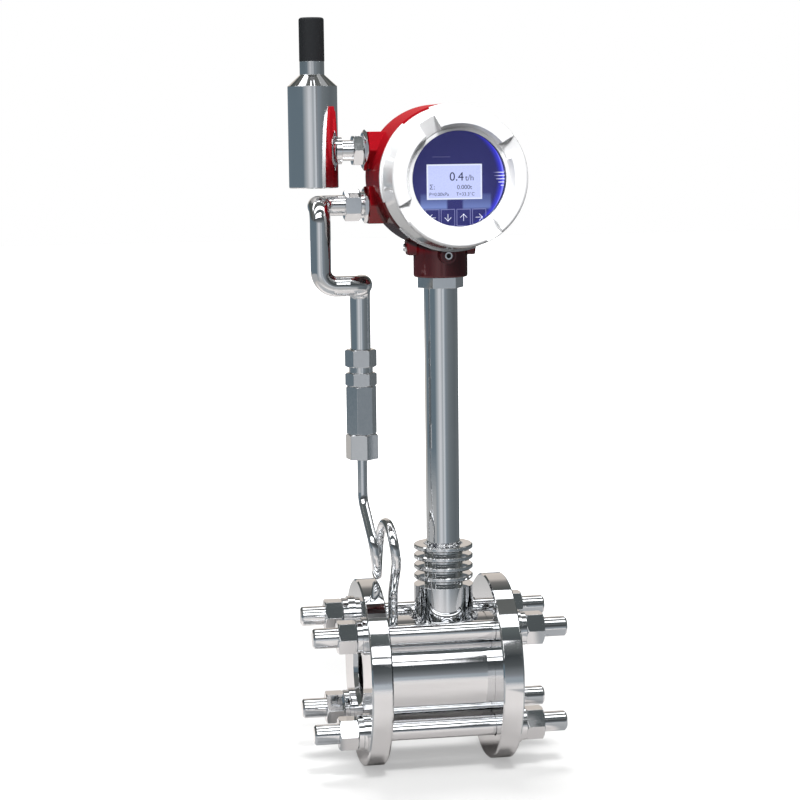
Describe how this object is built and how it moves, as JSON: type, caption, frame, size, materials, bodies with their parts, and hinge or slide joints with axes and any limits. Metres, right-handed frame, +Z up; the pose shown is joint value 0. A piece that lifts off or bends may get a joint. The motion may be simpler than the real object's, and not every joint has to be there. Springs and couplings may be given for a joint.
{
  "type": "vortex flow meter",
  "caption": "Vortex flow meter for a pipe: ring flanges and studs clamp its barrel, a finned stem carries a round display head, and a siphon tube feeds a pressure sensor.",
  "frame": {"origin": "centre of the inlet flange's pipe bore at the outer end of its straight wall, on the flow axis", "axes": "+X along the flow from inlet to outlet, +Z up the stem, the display faces -Y"},
  "size_m": [0.211, 0.162, 0.5958],
  "materials": {
    "polished_steel": "mirror polished stainless steel",
    "machined_steel": "turned stainless steel",
    "head_red": "glossy red coat on cast aluminium",
    "cover_white": "glossy white coat on cast aluminium",
    "glass": "clear toughened glass",
    "plate_blue": "dark blue printed front plate",
    "screen": "lit liquid crystal screen",
    "cap_black": "matt black moulded cap",
    "board_green": "circuit board with solder mask",
    "block_plastic": "moulded terminal plastic",
    "brass": "turned brass",
    "seal_rubber": "black seal rubber",
    "gasket_sheet": "dark jointing sheet"
  },
  "bodies": {
    "meter": {"meter_body": "polished_steel", "shedder_bar": "machined_steel", "vortex_sensor": "machined_steel", "inlet_gasket": "gasket_sheet", "outlet_gasket": "gasket_sheet", "inlet_flange": "polished_steel", "outlet_flange": "polished_steel", "clamp_studs": "polished_steel", "flat_washers": "polished_steel", "spring_washers": "polished_steel", "clamp_nuts": "polished_steel", "cooling_neck": "polished_steel", "stem_tube": "polished_steel", "stem_lock_nut": "machined_steel", "head_housing": "head_red", "neck_lock_screw": "machined_steel", "ground_screw": "machined_steel", "power_board": "board_green", "display_pillars": "brass", "display_board": "board_green", "display_screen": "screen", "display_plate": "plate_blue", "terminal_block": "block_plastic", "terminal_screws": "brass", "upper_locknut": "polished_steel", "upper_gland": "polished_steel", "link_tube": "polished_steel", "link_collar": "polished_steel", "module_shell": "polished_steel", "module_plug": "polished_steel", "radio_board": "board_green", "aerial": "brass", "antenna_cap": "cap_black", "lower_locknut": "polished_steel", "lower_gland_body": "polished_steel", "lower_gland_nut": "polished_steel", "conduit_tube": "polished_steel", "conduit_nut": "machined_steel", "sensor_adapter": "machined_steel", "sensor_body": "machined_steel", "union_nut": "machined_steel", "siphon_tube": "polished_steel"},
    "front_glazing": {"front_window": "glass", "window_ring": "machined_steel", "front_seal": "seal_rubber"},
    "front_cover": {"front_cover": "cover_white"},
    "rear_seal": {"rear_seal": "seal_rubber"},
    "rear_cover": {"rear_cover": "head_red"}
  },
  "joints": [
    {"name": "front_cover_travel", "type": "slide", "parent": "meter", "child": "front_glazing", "axis": [0, -1, 0], "range_m": [0, 0.0155]},
    {"name": "front_cover_turn", "type": "hinge", "parent": "front_glazing", "child": "front_cover", "pos_m": [0.0673, 0, 0.397], "axis": [0, -1, 0], "range_deg": [0, 1800]},
    {"name": "rear_cover_travel", "type": "slide", "parent": "meter", "child": "rear_seal", "axis": [0, 1, 0], "range_m": [0, 0.0125]},
    {"name": "rear_cover_turn", "type": "hinge", "parent": "rear_seal", "child": "rear_cover", "pos_m": [0.0673, 0, 0.397], "axis": [0, 1, 0], "range_deg": [0, 1440]}
  ],
  "couplings": [
    {"joint": "front_cover_travel", "follows": "front_cover_turn", "m_per_rad": 0.00047746},
    {"joint": "rear_cover_travel", "follows": "rear_cover_turn", "m_per_rad": 0.00047746}
  ]
}
